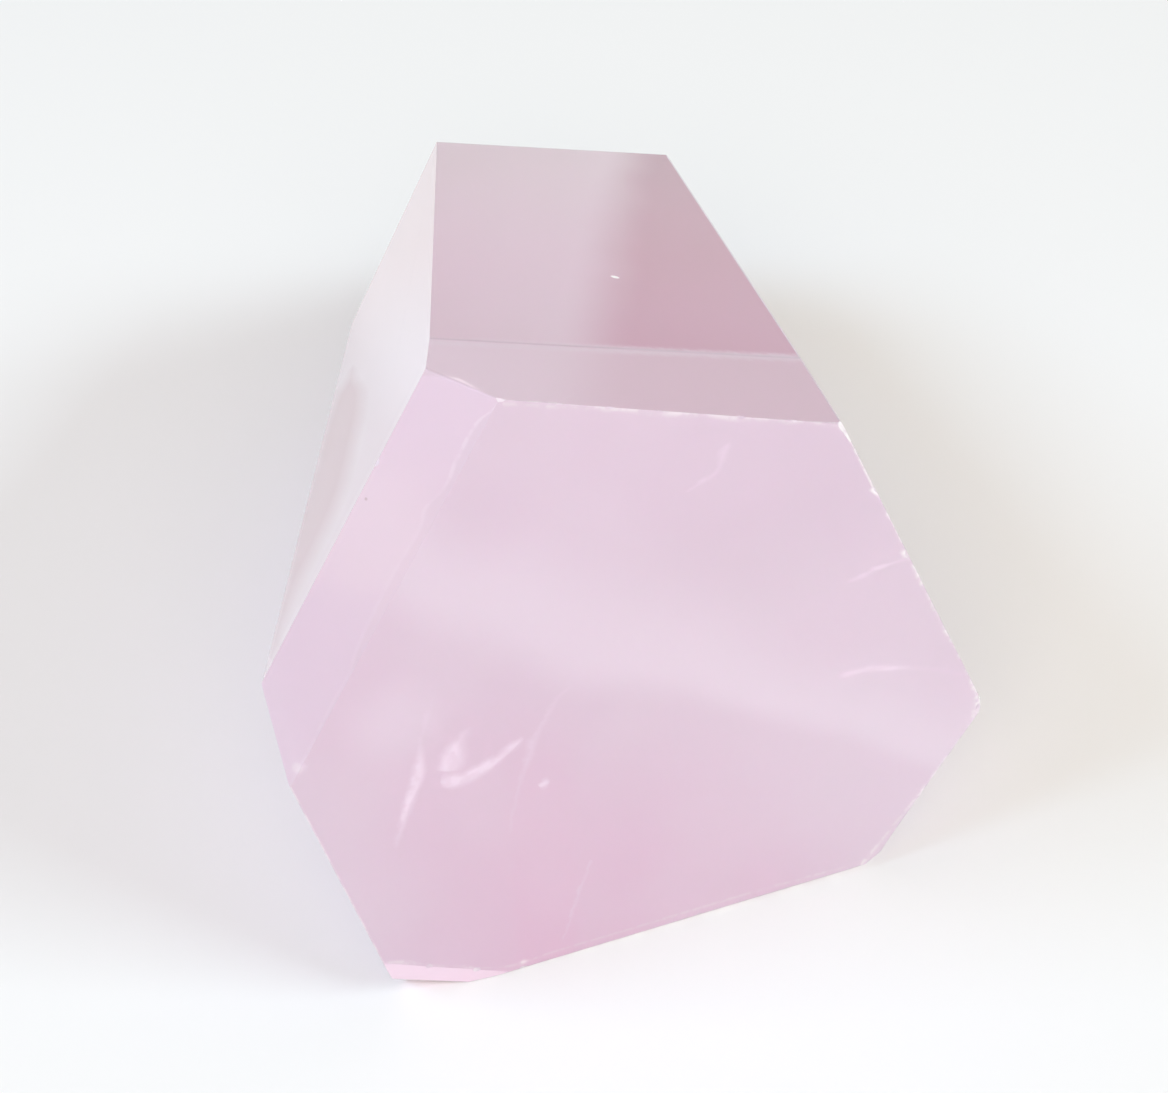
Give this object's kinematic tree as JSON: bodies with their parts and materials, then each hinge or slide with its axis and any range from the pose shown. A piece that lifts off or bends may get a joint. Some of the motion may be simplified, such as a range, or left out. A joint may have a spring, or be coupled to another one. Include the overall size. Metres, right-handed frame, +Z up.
{
  "type": "rose quartz point",
  "caption": "Polished rose quartz crystal with a tapering faceted body, a pointed tip and an oblique cut base, lying on one side face.",
  "frame": {"origin": "centre of the bounding box's bottom, on the rest face", "axes": "+Z up, +Y from the cut base towards the tip along the floor, +X to the right seen from the base"},
  "size_m": [0.0438, 0.0742, 0.0413],
  "materials": {
    "rose_quartz": "polished translucent pale pink quartz, milky inside, with cloudy bands, healed cracks and small worn chips on the base's edges"
  },
  "bodies": {
    "root": {"quartz_point": "rose_quartz"}
  },
  "joints": []
}
